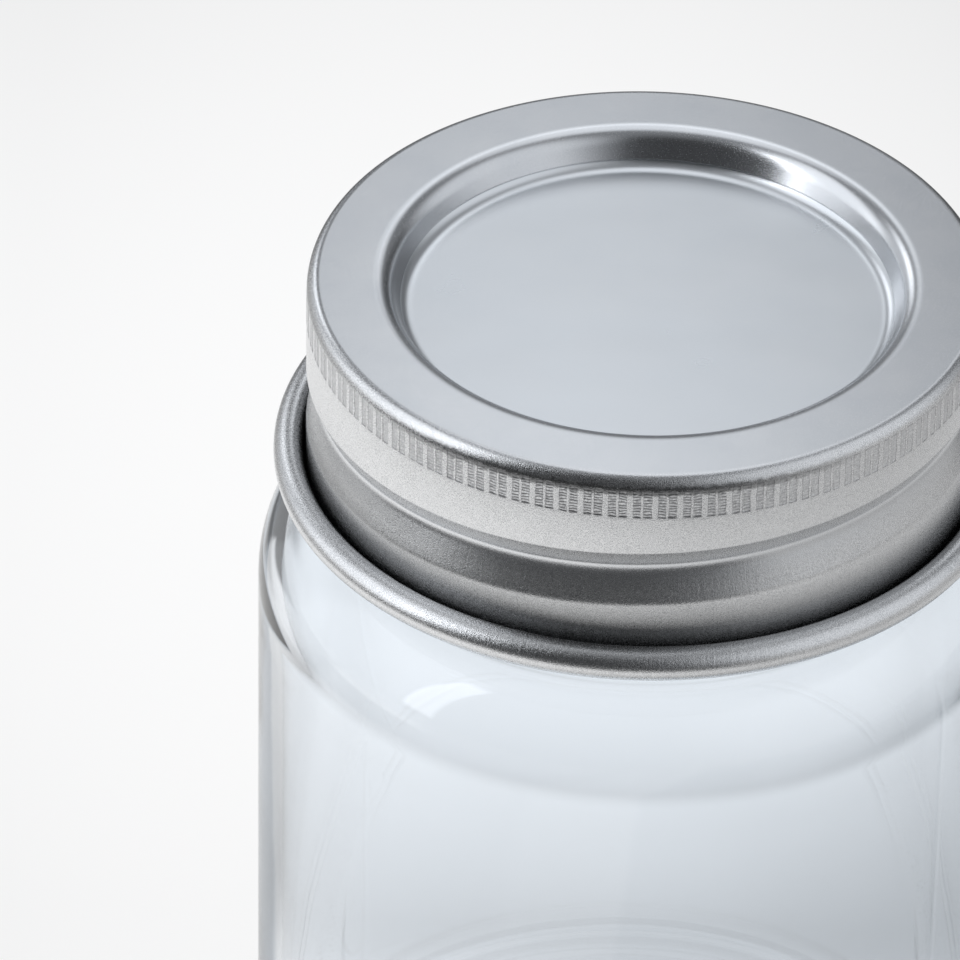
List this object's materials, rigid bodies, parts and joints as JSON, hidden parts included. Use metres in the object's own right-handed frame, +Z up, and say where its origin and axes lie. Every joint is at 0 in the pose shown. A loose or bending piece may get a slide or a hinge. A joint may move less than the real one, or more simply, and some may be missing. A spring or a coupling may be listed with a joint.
{
  "type": "screw-top glass jar",
  "caption": "Round clear glass jar with a rounded shoulder and a metal screw lid: band with rolled thread and curled rim over a loose sunk disc with a sealing ring.",
  "frame": {"origin": "centre of the base, on the surface that the jar stands on", "axes": "+Z up the jar's axis, +Y to the back, where the thread has its seam, -Y to the picture's viewer"},
  "size_m": [0.0822, 0.0822, 0.127],
  "materials": {
    "glass": "clear blown glass, fire polished, faint blue-grey tint",
    "band_tinplate": "satin tinplate with fine draw lines and sparkle grain",
    "disc_tinplate": "smooth satin tinplate, pale blue-grey",
    "sealing_compound": "matt soft sealing compound"
  },
  "bodies": {
    "jar": {"glass_jar": "glass"},
    "lid": {"lid_disc": "disc_tinplate", "seal_ring": "sealing_compound"},
    "band": {"screw_band": "band_tinplate"}
  },
  "joints": [
    {"name": "lid_lift", "type": "slide", "parent": "jar", "child": "lid", "axis": [0, 0, 1], "range_m": [0, 0.0255]},
    {"name": "band_turn", "type": "hinge", "parent": "lid", "child": "band", "pos_m": [0, 0, 0.127], "axis": [0, 0, 1], "range_deg": [0, 1080]}
  ],
  "couplings": [
    {"joint": "lid_lift", "follows": "band_turn", "m_per_rad": 0.0013528}
  ]
}
